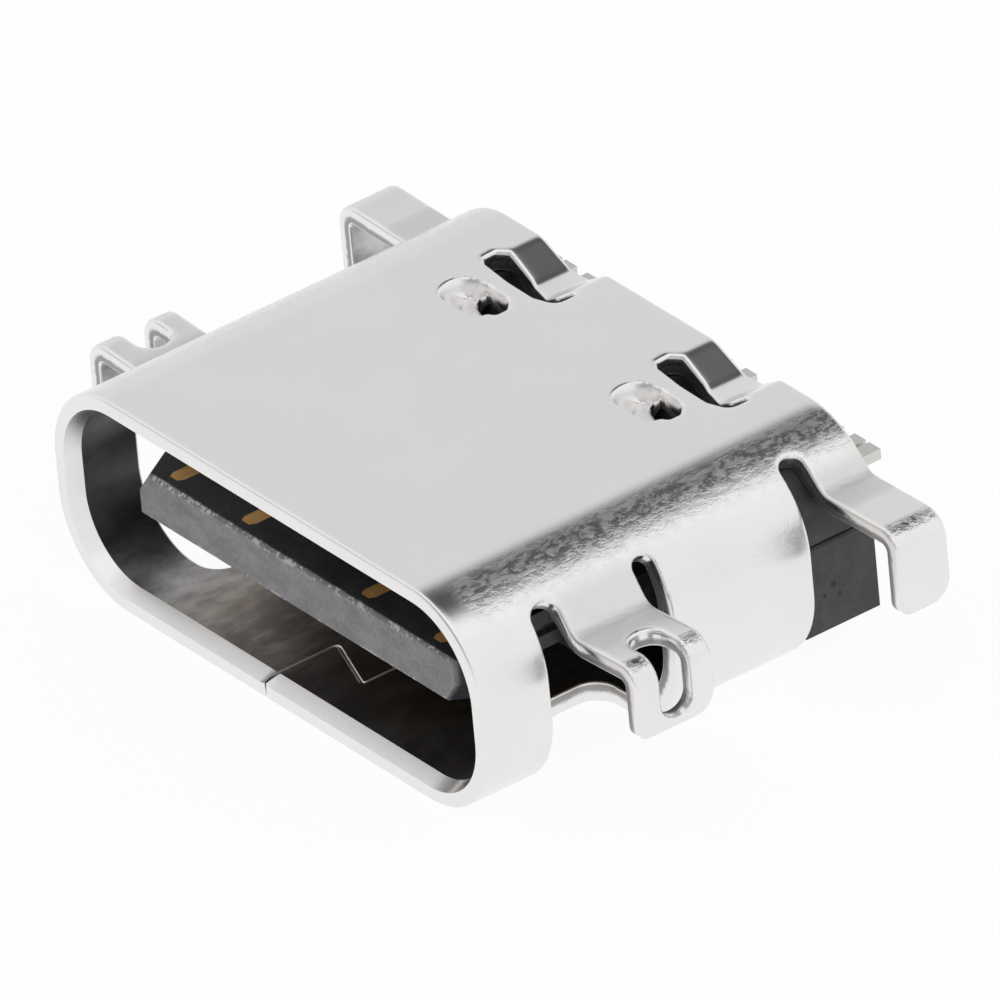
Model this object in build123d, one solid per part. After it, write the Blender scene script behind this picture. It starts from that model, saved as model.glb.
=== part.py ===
"""Mid-mount receptacle for the small reversible data and power plug, with sixteen contacts.

Frame: millimetres, +Z up, and the plug goes in along +Y from the front. The origin is at the
centre of the mouth, in the plane of its rim, so the tongue lies on the XY plane. The shell's
four legs drop through the board, which lies below their shoulders and under the contact tails.
"""
import os
from math import cos, radians, sin

from build123d import *

# Mouth, by the plug standard
MOUTH_WIDTH = 8.34
MOUTH_HEIGHT = 2.56
TONGUE_WIDTH = 6.69
TONGUE_THICKNESS = 0.70
CONTACT_PITCH = 0.50

# Shell sheet
SHEET = 0.30
CORNER_RADIUS = 1.31
TOP_DEPTH = 6.46
RIM_CHAMFER = 0.09
RIM_CHAMFER_DEPTH = 0.22
RIM_ROUND = 0.05

# Side windows that the legs are cut from, measured back from the rim and up from the middle
WINDOW_FRONT = 1.10
WINDOW_REAR = 3.06
WINDOW_TOP = 1.19
WINDOW_BOTTOM_INSET = 1.75
WINDOW_BOTTOM_RADIUS = 0.35
REAR_NOTCH_TOP = 1.40
REAR_NOTCH_WIDTH = 0.35

# Legs
LEG_SHEET = 0.24
LEG_OVERHANG = 1.25
REAR_LEG_EXTRA = 0.10
FRONT_LEG_BOTTOM = -0.28
REAR_LEG_BOTTOM = -0.22
LEG_BEND_RADIUS = 0.34
LEG_HOLLOW_RADIUS = 0.24
FOOT_FRONT_RADIUS = 0.16
FOOT_REAR_RADIUS = 0.32
FRONT_LEG_START = 1.52
FRONT_LEG_WIDTH = 1.22
FRONT_LEG_CREASE = 0.72
FRONT_LEG_TOP = 0.79
FRONT_LEG_ANGLE = 36
REAR_LEG_WIDTH = 0.80
REAR_LEG_CREASE = 0.97
REAR_LEG_TOP = 1.01
REAR_LEG_ANGLE = 46
LEG_ROOT_ANGLE = 69
FRONT_NOTCH_RADIUS = 0.20
LEG_SLOT_WIDTH = 0.50
LEG_SLOT_OFFSET = 0.02
LEG_SLOT_INSET = 0.78
LEG_SLOT_BOTTOM = -0.15

# Crimped strips and pressed lances in the top of the shell
STRIP_CENTRES = (-1.77, 1.83)
STRIP_SPAN = 1.42
STRIP_LENGTH = 0.57
STRIP_DIP = 0.26
STRIP_FLAT = 0.38
STRIP_FALL = 0.60
SLOT_LENGTH = 0.39
SLOT_END_RADIUS = 0.17
LANCE_OFFSET = -0.10
LANCE_CENTRE = 4.89
LANCE_LENGTH = 1.10
LANCE_WIDTH = 0.64
LANCE_FLAP = 0.38
LANCE_DIP = 0.28

# Butt seam in the bottom of the shell, with two dovetails
SEAM_PLACE = -0.25
SEAM_GAP = 0.03
DOVETAIL_CENTRES = (1.70, 4.10)
DOVETAIL_NECK = 1.06
DOVETAIL_HEAD = 1.78
DOVETAIL_REACH = 0.98

# Tongue and mouldings
TONGUE_FRONT = 0.45
TONGUE_NOSE = 0.04
TONGUE_CORNER = 0.06
TONGUE_FACET = (0.30, 0.48, 0.40)
ROOT_LENGTH = 0.65
ROOT_THICKNESS = 1.30
ROOT_LIP_COVER = 0.08
ROOT_WIDTH = 7.00
BASE_LENGTH = 0.61
FIT = 0.03
REAR_BLOCK_OVERHANG = 0.04
UPPER_BLOCK_INSET = 0.02
LOWER_BLOCK_BOTTOM = -1.10
BLOCK_SEAM = 0.16
SEAM_GROOVE = 0.03
BLOCK_CHAMFER = 0.22
CARRIER_FRONT = 1.00
CARRIER_WIDTH = 6.10

# Contacts
CONTACT_SHEET = 0.15
PAD_WIDTH = 0.25
PAD_TIP_WIDTH = 0.15
PAD_TIP_LENGTH = 0.08
LONG_PAD_FRONT = 0.62
SHORT_PAD_FRONT = 1.16
TAIL_WIDTH = 0.23
TAIL_LENGTH = 0.76
SIGNAL_TO_POWER_TAILS = 0.65
POWER_TO_GROUND_TAILS = 0.75
TAIL_PAIR_STEP = 0.15
BOARD_TOP = 0.42
UPPER_RISE_INSET = 0.60
LOWER_RISE_INSET = 0.94
CONTACT_BEND = 0.17
RISE_RUN = 0.30
JOG_LEAD = 0.40
JOG_LENGTH = 0.95

# Middle plate and grounding pads
MID_SHEET = 0.15
MID_FRONT = 0.58
MID_BARB_LENGTH = 0.25
MID_BARB_OVERHANG = 0.35
LATCH_NOTCH_DEPTH = 0.42
LATCH_NOTCH_FRONT = 1.62
LATCH_NOTCH_REAR = 2.34
PAD_SHEET = 0.12
PAD_SPAN = 6.30
PAD_LIP = 0.42
PAD_BEND = 0.04

half_width = MOUTH_WIDTH / 2 + SHEET
half_height = MOUTH_HEIGHT / 2 + SHEET
corner_x = half_width - CORNER_RADIUS
corner_z = half_height - CORNER_RADIUS
tongue_top = TONGUE_THICKNESS / 2
lip_seat = tongue_top + ROOT_LIP_COVER
leg_reach = half_width + LEG_OVERHANG
rear_leg_reach = leg_reach + REAR_LEG_EXTRA
rear_leg_start = TOP_DEPTH - REAR_LEG_WIDTH
wall_depth = rear_leg_start - REAR_NOTCH_WIDTH
base_front = wall_depth - BASE_LENGTH
root_front = base_front - ROOT_LENGTH
block_depth = TOP_DEPTH + REAR_BLOCK_OVERHANG
jog_start = base_front - JOG_LEAD
jog_end = jog_start + JOG_LENGTH
window_length = WINDOW_REAR - WINDOW_FRONT
FAR = 20
SIDES = {"left": -1, "right": 1}


def along_y(sketch, start, end):
    """A solid from a sketch drawn in X and Z, reaching from one depth to another."""
    plane = Plane(origin=(0, start, 0), x_dir=(1, 0, 0), z_dir=(0, -1, 0))
    return extrude(plane * sketch, amount=-(end - start))


def along_x(sketch, start, end):
    """A solid from a sketch drawn in Y and Z, reaching from one side to another."""
    plane = Plane(origin=(start, 0, 0), x_dir=(0, 1, 0), z_dir=(1, 0, 0))
    return extrude(plane * sketch, amount=end - start)


def block(x0, x1, y0, y1, z0, z1):
    """A box between two corners."""
    middle = ((x0 + x1) / 2, (y0 + y1) / 2, (z0 + z1) / 2)
    return Pos(*middle) * Box(x1 - x0, y1 - y0, z1 - z0)


def oval(inset):
    """The shell's outline in X and Z, drawn smaller by an inset."""
    return RectangleRounded(
        2 * (half_width - inset), 2 * (half_height - inset), CORNER_RADIUS - inset
    )


def mitred(points, thickness):
    """The other skin of a bent sheet: the points moved to their right by its thickness."""
    skin = [Vector(*point) for point in points]
    runs = [(b - a).normalized() for a, b in zip(skin, skin[1:])]
    sides = [Vector(run.Y, -run.X) for run in runs]
    moved = [skin[0] + sides[0] * thickness]
    for point, before, after in zip(skin[1:], sides, sides[1:]):
        moved.append(point + (before + after) * (thickness / (1 + before.dot(after))))
    return moved + [skin[-1] + sides[-1] * thickness]


def bent_strip(points, thickness, radii):
    """A sheet seen edge on: one skin follows the points and the other lies to their right."""
    skin = [Vector(*point) for point in points]
    other = mitred(points, thickness)
    section = make_face(Polyline(*skin, *other[::-1], close=True))
    for place, radius in zip(range(1, len(skin) - 1), radii):
        before = skin[place] - skin[place - 1]
        after = skin[place + 1] - skin[place]
        turns_left = before.X * after.Y - before.Y * after.X > 0
        far_radius = radius + thickness if turns_left else max(radius - thickness, radius / 5)
        for corner, size in ((skin[place], radius), (other[place], far_radius)):
            section = fillet(section.vertices().sort_by_distance(corner)[0], size)
    return section


def mirrored(solid):
    """A solid and its copy on the other side of the plug."""
    return solid + mirror(solid, about=Plane.YZ)


def tube():
    """The folded sheet before its windows: a full ring whose sides stop short of its top."""
    ring = along_y(oval(0) - oval(SHEET), 0, TOP_DEPTH)
    below_top = block(-FAR, FAR, wall_depth, FAR, -FAR, REAR_NOTCH_TOP)
    return ring - below_top


def rim_chamfer():
    """The lead-in that guides the plug into the mouth."""
    wide = Plane.XZ * oval(SHEET - RIM_CHAMFER)
    narrow = Plane.XZ.offset(-RIM_CHAMFER_DEPTH) * oval(SHEET)
    return loft([wide, narrow])


def side_window():
    """The opening on the right that the front leg is cut from, down into the bottom."""
    with BuildSketch() as side:
        with BuildLine():
            Polyline(
                (WINDOW_FRONT, WINDOW_TOP),
                (WINDOW_REAR, WINDOW_TOP),
                (WINDOW_REAR, -half_height + SHEET),
                (WINDOW_FRONT, -half_height + SHEET),
                close=True,
            )
        make_face()
        fillet(side.vertices().group_by(Axis.Y)[-1], FRONT_NOTCH_RADIUS)
    inner_end = half_width - WINDOW_BOTTOM_INSET
    with BuildSketch() as bottom:
        with Locations(((inner_end + half_width + 1) / 2, (WINDOW_FRONT + WINDOW_REAR) / 2)):
            RectangleRounded(half_width + 1 - inner_end, window_length, WINDOW_BOTTOM_RADIUS)
        with Locations((half_width, (WINDOW_FRONT + WINDOW_REAR) / 2)):
            Rectangle(half_width - inner_end, window_length)
    through_side = along_x(side.sketch, corner_x - SHEET, half_width + 1)
    through_bottom = extrude(
        Plane.XY.offset(-half_height - 1) * bottom.sketch, amount=1 + half_height + corner_z
    )
    return through_side + through_bottom


def leg_section(crease, top, angle, reach, bottom):
    """A leg seen edge on: it leaves the shell's corner, turns out, rises a little and turns down."""
    bend = radians(angle)
    leave_x = corner_x + CORNER_RADIUS * cos(bend)
    leave_z = corner_z + CORNER_RADIUS * sin(bend)
    crease_x = leave_x + (leave_z - crease) * sin(bend) / cos(bend)
    strip = bent_strip(
        [(leave_x, leave_z), (crease_x, crease), (reach, top), (reach, bottom)],
        LEG_SHEET,
        [LEG_HOLLOW_RADIUS, LEG_BEND_RADIUS],
    )
    far = 2 * CORNER_RADIUS
    top_end = radians(LEG_ROOT_ANGLE)
    wedge = make_face(
        Polyline(
            (corner_x, corner_z),
            (corner_x + far * cos(bend), corner_z + far * sin(bend)),
            (corner_x + far * cos(top_end), corner_z + far * sin(top_end)),
            close=True,
        )
    )
    return strip + ((oval(0) - oval(SHEET)) & wedge)


def foot_outline(start, width, bottom):
    """A leg seen from the side, with its two foot corners rounded."""
    with BuildSketch() as outline:
        with Locations((start + width / 2, (bottom + half_height) / 2)):
            Rectangle(width, half_height - bottom)
        low = outline.vertices().group_by(Axis.Y)[0].sort_by(Axis.X)
        fillet(low[0], FOOT_FRONT_RADIUS)
        low = outline.vertices().group_by(Axis.Y)[0].sort_by(Axis.X)
        fillet(low[-1], FOOT_REAR_RADIUS)
    return along_x(outline.sketch, 0, rear_leg_reach + 1)


def front_leg():
    """The right front leg, with the slot that runs round its outer bend."""
    end = FRONT_LEG_START + FRONT_LEG_WIDTH
    section = leg_section(
        FRONT_LEG_CREASE, FRONT_LEG_TOP, FRONT_LEG_ANGLE, leg_reach, FRONT_LEG_BOTTOM
    )
    leg = along_y(section, FRONT_LEG_START, end)
    leg &= foot_outline(FRONT_LEG_START, FRONT_LEG_WIDTH, FRONT_LEG_BOTTOM)
    middle = FRONT_LEG_START + FRONT_LEG_WIDTH / 2 + LEG_SLOT_OFFSET
    inner = leg_reach - LEG_SLOT_INSET
    from_above = extrude(
        Pos((inner + leg_reach + 1) / 2, middle, FRONT_LEG_TOP - 2 * LEG_SHEET)
        * SlotOverall(leg_reach + 1 - inner, LEG_SLOT_WIDTH),
        amount=half_height,
    )
    height = FRONT_LEG_TOP - LEG_SLOT_BOTTOM
    from_side = along_x(
        Pos(middle, LEG_SLOT_BOTTOM + height / 2) * SlotOverall(height, LEG_SLOT_WIDTH, rotation=90),
        inner + LEG_SLOT_WIDTH,
        leg_reach + 1,
    )
    return leg - from_above - from_side


def rear_leg():
    """The right rear leg, which leaves the shell behind the end of the side wall."""
    section = leg_section(
        REAR_LEG_CREASE, REAR_LEG_TOP, REAR_LEG_ANGLE, rear_leg_reach, REAR_LEG_BOTTOM
    )
    leg = along_y(section, rear_leg_start, TOP_DEPTH)
    return leg & foot_outline(rear_leg_start, REAR_LEG_WIDTH, REAR_LEG_BOTTOM)


def rear_notch():
    """The cut above the end of the right wall, round at its top, that frees the rear leg."""
    width = REAR_NOTCH_WIDTH
    middle = wall_depth + width / 2
    outline = Pos(middle, REAR_NOTCH_TOP / 2) * SlotOverall(
        REAR_NOTCH_TOP, width, rotation=90
    )
    return along_x(outline, corner_x, half_width + 1)


def strip_opening(centre):
    """The hole that the slot and the crimped strip behind it leave in the top."""
    left = centre - STRIP_SPAN / 2
    right = centre + STRIP_SPAN / 2
    front = TOP_DEPTH - STRIP_LENGTH - SLOT_LENGTH
    with BuildSketch() as outline:
        with BuildLine():
            Polyline(
                (left, front), (right, front), (right, TOP_DEPTH + 1), (left, TOP_DEPTH + 1),
                close=True,
            )
        make_face()
        fillet(outline.vertices().group_by(Axis.Y)[0], SLOT_END_RADIUS)
    return extrude(Pos(0, 0, corner_z) * outline.sketch, amount=half_height)


def crimped_strip(centre):
    """A strip at the rear edge, pressed down in a shallow valley to grip the moulding."""
    left = centre - STRIP_SPAN / 2
    right = centre + STRIP_SPAN / 2
    low = half_height - STRIP_DIP
    points = [
        (left, half_height),
        (left + STRIP_FALL, low),
        (left + STRIP_FALL + STRIP_FLAT, low),
        (right, half_height),
    ]
    section = bent_strip(points, SHEET, [STRIP_DIP / 2, STRIP_DIP / 2])
    ends = [Pos(x, half_height - SHEET / 2) * Rectangle(SHEET, SHEET) for x in (left, right)]
    joined = section + ends[0] + ends[1]
    plate = Pos(centre, half_height - SHEET) * Rectangle(STRIP_SPAN + SHEET, 2 * SHEET)
    return along_y(joined & plate, TOP_DEPTH - STRIP_LENGTH, TOP_DEPTH)


def lance(centre):
    """A pressed lance: a short flap that slopes down from the left end of an oval opening."""
    x = centre + LANCE_OFFSET
    left = x - LANCE_LENGTH / 2
    tip = left + LANCE_FLAP
    oval_cut = Pos(x, LANCE_CENTRE) * SlotOverall(LANCE_LENGTH, LANCE_WIDTH)
    hole = extrude(Pos(0, 0, corner_z) * oval_cut, amount=half_height)
    slope = make_face(
        Polyline(
            (left - SHEET, half_height),
            (left, half_height),
            (tip, half_height - LANCE_DIP),
            (tip, half_height - LANCE_DIP - SHEET),
            (left, half_height - SHEET),
            (left - SHEET, half_height - SHEET),
            close=True,
        )
    )
    flap = along_y(slope, LANCE_CENTRE - LANCE_WIDTH / 2, LANCE_CENTRE + LANCE_WIDTH / 2)
    return hole, flap & hole


def bottom_seam():
    """The gap where the two ends of the sheet meet, with dovetails that lock them."""
    points = [(SEAM_PLACE, -1)]
    for middle in DOVETAIL_CENTRES:
        points += [
            (SEAM_PLACE, middle - DOVETAIL_NECK / 2),
            (SEAM_PLACE + DOVETAIL_REACH, middle - DOVETAIL_HEAD / 2),
            (SEAM_PLACE + DOVETAIL_REACH, middle + DOVETAIL_HEAD / 2),
            (SEAM_PLACE, middle + DOVETAIL_NECK / 2),
        ]
    points.append((SEAM_PLACE, wall_depth + 1))
    with BuildSketch() as gap:
        with BuildLine():
            Polyline(*points)
            offset(amount=SEAM_GAP, side=Side.RIGHT)
        make_face()
    return extrude(Pos(0, 0, -half_height - 1) * gap.sketch, amount=1 + 2 * SHEET)


def make_shell():
    """The whole shell, stamped and folded from one sheet."""
    shell = tube() - rim_chamfer()
    rim = [e for e in shell.edges() if abs(e.center().Y) < FIT and on_outside(e)]
    shell = fillet(rim, RIM_ROUND)
    shell -= mirrored(side_window())
    shell -= mirrored(rear_notch())
    shell += mirrored(front_leg())
    shell += mirrored(rear_leg())
    for centre in STRIP_CENTRES:
        shell -= strip_opening(centre)
        shell += crimped_strip(centre)
        hole, flap = lance(centre)
        shell = shell - hole + flap
    return shell - bottom_seam()


def on_outside(edge):
    """Whether an edge of the rim belongs to the shell's outer skin."""
    box = edge.bounding_box()
    wide = max(abs(box.min.X), abs(box.max.X)) > half_width - SHEET / 2
    tall = max(abs(box.min.Z), abs(box.max.Z)) > half_height - SHEET / 2
    return wide or tall


def contact_solid(pad_x, tail_x, side, pad_front, rise):
    """One contact: a pad on the tongue, a jog in the moulding, a rise and a soldering tail."""
    low = tongue_top - CONTACT_SHEET if side > 0 else -tongue_top
    with BuildSketch() as plan:
        with BuildLine():
            Polyline(
                (pad_x - PAD_TIP_WIDTH / 2, pad_front),
                (pad_x + PAD_TIP_WIDTH / 2, pad_front),
                (pad_x + PAD_WIDTH / 2, pad_front + PAD_TIP_LENGTH),
                (pad_x + PAD_WIDTH / 2, jog_start),
                (tail_x + TAIL_WIDTH / 2, jog_end),
                (tail_x + TAIL_WIDTH / 2, rise),
                (tail_x - TAIL_WIDTH / 2, rise),
                (tail_x - TAIL_WIDTH / 2, jog_end),
                (pad_x - PAD_WIDTH / 2, jog_start),
                (pad_x - PAD_WIDTH / 2, pad_front + PAD_TIP_LENGTH),
                close=True,
            )
        make_face()
    flat = extrude(Pos(0, 0, low) * plan.sketch, amount=CONTACT_SHEET)
    tail = bent_strip(
        [
            (jog_end, low + CONTACT_SHEET),
            (rise, low + CONTACT_SHEET),
            (rise + RISE_RUN, BOARD_TOP + CONTACT_SHEET),
            (block_depth + TAIL_LENGTH, BOARD_TOP + CONTACT_SHEET),
        ],
        CONTACT_SHEET,
        [CONTACT_BEND] * 2,
    )
    flat &= block(-FAR, FAR, 0, jog_end, -FAR, FAR)
    return flat + along_x(tail, tail_x - TAIL_WIDTH / 2, tail_x + TAIL_WIDTH / 2)


def contact_places(upper):
    """Each contact of one row: kind, side, pad place, tail place and whether its pad is long.

    The pads keep the plug's pitch, counted from the middle. The tails of the two rows take
    turns along the board, and those of one power or ground pair lie side by side.
    """
    step = TAIL_PAIR_STEP if upper else -TAIL_PAIR_STEP
    inner_tail = CONTACT_PITCH / 2 if upper else 1.5 * CONTACT_PITCH
    outer_tail = inner_tail + 2 * CONTACT_PITCH
    power_tails = 3.5 * CONTACT_PITCH + SIGNAL_TO_POWER_TAILS
    ground_tails = power_tails + POWER_TO_GROUND_TAILS
    rows = [
        ("inner_signal", 0.5, inner_tail, False),
        ("outer_signal", 1.5, outer_tail, False),
        ("power", 2.5, power_tails + step, True),
        ("ground", 5.5, ground_tails + step, True),
    ]
    return [
        (kind, side_name, side * pitches * CONTACT_PITCH, side * tail, long_pad)
        for side_name, side in SIDES.items()
        for kind, pitches, tail, long_pad in rows
    ]


def make_contacts():
    """All sixteen contacts by node name."""
    contacts = {}
    for row, side, inset in (("upper", 1, UPPER_RISE_INSET), ("lower", -1, LOWER_RISE_INSET)):
        rise = block_depth - inset
        for kind, side_name, pad_x, tail_x, long_pad in contact_places(row == "upper"):
            front = LONG_PAD_FRONT if long_pad else SHORT_PAD_FRONT
            name = f"{row}_{kind}_contact_{side_name}"
            contacts[name] = contact_solid(pad_x, tail_x, side, front, rise)
    return contacts


def tongue_plan(inset):
    """The tongue from above, with its two front corners cut back."""
    side = TONGUE_WIDTH / 2 - inset
    front = TONGUE_FRONT + inset
    return Polyline(
        (-side + TONGUE_CORNER, front),
        (side - TONGUE_CORNER, front),
        (side, front + TONGUE_CORNER),
        (side, base_front + SHEET),
        (-side, base_front + SHEET),
        (-side, front + TONGUE_CORNER),
        close=True,
    )


def nose_facet(side, above):
    """The plane that slants one front corner of the tongue back for an easy start."""
    across, back, down = TONGUE_FACET
    corner = Vector(side * TONGUE_WIDTH / 2, TONGUE_FRONT, above * tongue_top)
    first = Vector(-side * across, 0, 0)
    second = Vector(0, back, 0)
    third = Vector(0, 0, -above * down)
    normal = (second - first).cross(third - first)
    if normal.dot(first) > 0:
        normal = -normal
    return Plane(origin=corner + first, z_dir=normal)


def make_mid_plate():
    """The steel plate in the middle of the tongue, with the notches that the plug latches in."""
    side = TONGUE_WIDTH / 2
    plate = extrude(
        Pos(0, 0, -MID_SHEET / 2) * make_face(tongue_plan(MID_FRONT - TONGUE_FRONT)),
        amount=MID_SHEET,
    )
    plate &= block(-side, side, 0, base_front, -1, 1)
    barbs = side + MID_BARB_OVERHANG
    rear = base_front + MID_BARB_LENGTH
    plate += block(-barbs, barbs, base_front, rear, -MID_SHEET / 2, MID_SHEET / 2)
    return plate - mirrored(latch_notch())


def latch_notch():
    """The recess in the tongue's right side where the plug's latch arm snaps in."""
    side = TONGUE_WIDTH / 2
    return block(
        side - LATCH_NOTCH_DEPTH, side + 1, LATCH_NOTCH_FRONT, LATCH_NOTCH_REAR, -1, 1
    )


def make_grounding_pad(side):
    """A thin plate over the tongue's root that the plug's grounding springs touch."""
    lip_skin = side * (lip_seat + PAD_SHEET)
    root_skin = side * (ROOT_THICKNESS / 2 + PAD_SHEET)
    points = [
        (root_front - PAD_LIP, lip_skin),
        (root_front - PAD_SHEET, lip_skin),
        (root_front - PAD_SHEET, root_skin),
        (base_front, root_skin),
    ]
    if side < 0:
        points = points[::-1]
    section = bent_strip(points, PAD_SHEET, [PAD_BEND] * 2)
    return along_x(section, -PAD_SPAN / 2, PAD_SPAN / 2)


def make_overmould(inserts):
    """The last moulding: the tongue's skin, its root and the plug that fills the shell."""
    nose = make_face(tongue_plan(0))
    tongue = extrude(Pos(0, 0, -tongue_top) * nose, amount=TONGUE_THICKNESS)
    front_edges = tongue.edges().filter_by(Axis.X).group_by(Axis.Y)[0]
    tongue = chamfer(front_edges, TONGUE_NOSE)
    for side_sign, above in ((-1, 1), (1, -1)):
        tongue = split(tongue, bisect_by=nose_facet(side_sign, above), keep=Keep.BOTTOM)
    side, top = ROOT_WIDTH / 2, ROOT_THICKNESS / 2
    root = block(-side, side, root_front, base_front, -top, top)
    root += block(-side, side, root_front - PAD_LIP, root_front, -lip_seat, lip_seat)
    base = along_y(oval(SHEET + FIT), base_front, wall_depth)
    body = tongue + root + base - mirrored(latch_notch())
    for insert in inserts:
        body -= insert
    return body


def make_carrier(side):
    """The core moulded round one row of contacts, inside the tongue and out to the rear."""
    inner = side * MID_SHEET / 2
    outer = side * (tongue_top - CONTACT_SHEET / 2)
    half = CARRIER_WIDTH / 2
    core = block(-half, half, CARRIER_FRONT, base_front, min(inner, outer), max(inner, outer))
    if side > 0:
        width = half_width - SHEET - UPPER_BLOCK_INSET
        rear = block(-width, width, wall_depth, block_depth, BLOCK_SEAM, half_height - SHEET - FIT)
        cap = along_y(oval(SHEET + FIT), wall_depth, block_depth)
        rear &= cap
        seam = rear.faces().sort_by(Axis.Z)[0].edges()
        seam = seam.filter_by(lambda edge: edge.center().Y > wall_depth + FIT)
        rear = chamfer(seam, SEAM_GROOVE)
        neck = block(-half, half, base_front, wall_depth, inner, outer)
    else:
        width = half_width - SHEET
        rear = block(-width, width, wall_depth, block_depth, LOWER_BLOCK_BOTTOM, BLOCK_SEAM)
        sides = rear.edges().filter_by(Axis.Y).group_by(Axis.Z)[-1]
        rear = chamfer(sides, SEAM_GROOVE)
        upper_rear = rear.edges().filter_by(Axis.X).group_by(Axis.Y)[-1].sort_by(Axis.Z)[-1]
        rear = chamfer(upper_rear, BLOCK_CHAMFER)
        neck = block(-half, half, base_front, wall_depth, outer, inner)
    return core + neck + rear


def strip_pockets():
    """The hollows in the rear moulding that the crimped strips press into."""
    front = TOP_DEPTH - STRIP_LENGTH - SLOT_LENGTH
    floor = half_height - STRIP_DIP - SHEET - FIT
    half = STRIP_SPAN / 2 + FIT
    return [
        block(centre - half, centre + half, front, block_depth + 1, floor, half_height)
        for centre in STRIP_CENTRES
    ]


def lance_pockets():
    """The hollows in the base that the pressed lances stop against."""
    floor = half_height - LANCE_DIP - SHEET - FIT
    half = LANCE_LENGTH / 2 + FIT
    depth = LANCE_CENTRE + LANCE_WIDTH / 2 + FIT
    centres = [centre + LANCE_OFFSET for centre in STRIP_CENTRES]
    return [
        block(centre - half, centre + half, base_front - 1, depth, floor, half_height)
        for centre in centres
    ]


def build():
    """Every node of the receptacle by name."""
    nodes = {"stamped_shell": make_shell()}
    contacts = make_contacts()
    metal = list(contacts.values())
    mid_plate = make_mid_plate()
    pads = {
        "upper_grounding_pad": make_grounding_pad(1),
        "lower_grounding_pad": make_grounding_pad(-1),
    }
    upper = make_carrier(1)
    lower = make_carrier(-1)
    for solid in metal:
        upper -= solid
        lower -= solid
    for pocket in strip_pockets():
        upper -= pocket
    nodes["upper_contact_carrier"] = upper
    nodes["lower_contact_carrier"] = lower
    inserts = metal + [mid_plate, upper, lower] + list(pads.values()) + lance_pockets()
    nodes["tongue_overmould"] = make_overmould(inserts)
    nodes["middle_plate"] = mid_plate
    nodes.update(pads)
    nodes.update(contacts)
    return nodes


if __name__ == "__main__":
    os.makedirs("parts", exist_ok=True)
    for name, solid in build().items():
        export_step(solid, f"parts/{name}.step")
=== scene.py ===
from math import atan2, ceil, cos, hypot, pi, radians, sin, tan

import bpy
import numpy as np
from mathutils import Matrix, Vector
from mathutils.geometry import delaunay_2d_cdt


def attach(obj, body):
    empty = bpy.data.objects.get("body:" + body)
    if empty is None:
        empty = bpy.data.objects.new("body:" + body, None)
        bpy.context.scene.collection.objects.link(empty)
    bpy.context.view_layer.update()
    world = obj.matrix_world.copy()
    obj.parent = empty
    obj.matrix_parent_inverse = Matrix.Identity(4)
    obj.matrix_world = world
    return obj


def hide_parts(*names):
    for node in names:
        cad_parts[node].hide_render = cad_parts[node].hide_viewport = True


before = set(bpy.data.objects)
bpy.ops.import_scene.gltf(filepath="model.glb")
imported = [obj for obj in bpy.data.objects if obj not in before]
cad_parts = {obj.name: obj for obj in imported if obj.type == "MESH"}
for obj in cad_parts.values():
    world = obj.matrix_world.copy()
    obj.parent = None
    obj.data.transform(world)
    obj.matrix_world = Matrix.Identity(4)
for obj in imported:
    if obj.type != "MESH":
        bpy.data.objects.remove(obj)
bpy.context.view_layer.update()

MM = 0.001

# Shell sheet, in millimetres in the frame of the solids
HALF_WIDTH = 4.47
HALF_HEIGHT = 1.58
SHEET = 0.30
CORNER_RADIUS = 1.31
TOP_DEPTH = 6.46
WALL_DEPTH = 5.31
WINDOW_FRONT = 1.10
WINDOW_REAR = 3.06
WINDOW_TOP = 1.19
WINDOW_INNER_END = 2.72
WINDOW_CORNER = 0.35
REAR_NOTCH_TOP = 1.40

# Legs
LEG_SHEET = 0.24
LEG_BEND = 0.34
LEG_HOLLOW = 0.24
FOOT_FRONT = 0.16
FOOT_REAR = 0.32
FRONT_LEG = {
    "start": 1.52, "end": 2.74, "leaves": 36, "crease": 0.72, "top": 0.79,
    "reach": 5.72, "foot": -0.28,
}
REAR_LEG = {
    "start": 5.66, "end": 6.46, "leaves": 46, "crease": 0.97, "top": 1.01,
    "reach": 5.82, "foot": -0.22,
}
LEG_SLOT = {"start": 1.90, "end": 2.40, "inner": 4.94, "bottom": -0.15}
LEG_MARGIN = 0.03
THINNED_OVER = 0.3

# Crimped strips: the line they are folded along, and how deep they are pressed across
STRIP_CENTRES = (-1.77, 1.83)
STRIP_FRONT = 5.5
STRIP_FOLD = ([-0.66, -0.2, 0.3, 0.6, 0.77], [5.72, 5.68, 5.6, 5.6, 5.75])
STRIP_PRESSED = ([-0.66, -0.08, 0.32, 0.70], [0, 0.26, 0.23, 0])

# Lances: round-ended dishes that fall from the left front to a torn hole
LANCE_OFFSET = -0.10
LANCE_DEPTH = 4.89
LANCE_RADIUS = 0.32
LANCE_STRAIGHT = 0.23
LANCE_FALL = 0.25
LANCE_SLOPE = 0.42
LANCE_WALL = 0.11

# Seam in the bottom
SEAM_PLACE = -0.25
SEAM_GAP = 0.03
DOVETAIL_CENTRES = (1.70, 4.10)
DOVETAIL_NECK = 1.06
DOVETAIL_HEAD = 1.78
DOVETAIL_REACH = 0.98
SEAM_CORNER = 0.05
SEAM_SPREAD = 1.2

# How much smaller the rounds at the ends of slots are than half the slot
END_ROUND_GAP = 0.005

# Small pits in the right side of the rear block, as (place, radius); their near-black insides are
# painted shade
SIDE_PITS = [
    ((4.17, 5.80, -0.47), 0.065), ((4.17, 5.645, -0.594), 0.045), ((4.17, 5.877, -0.644), 0.05),
]

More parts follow.
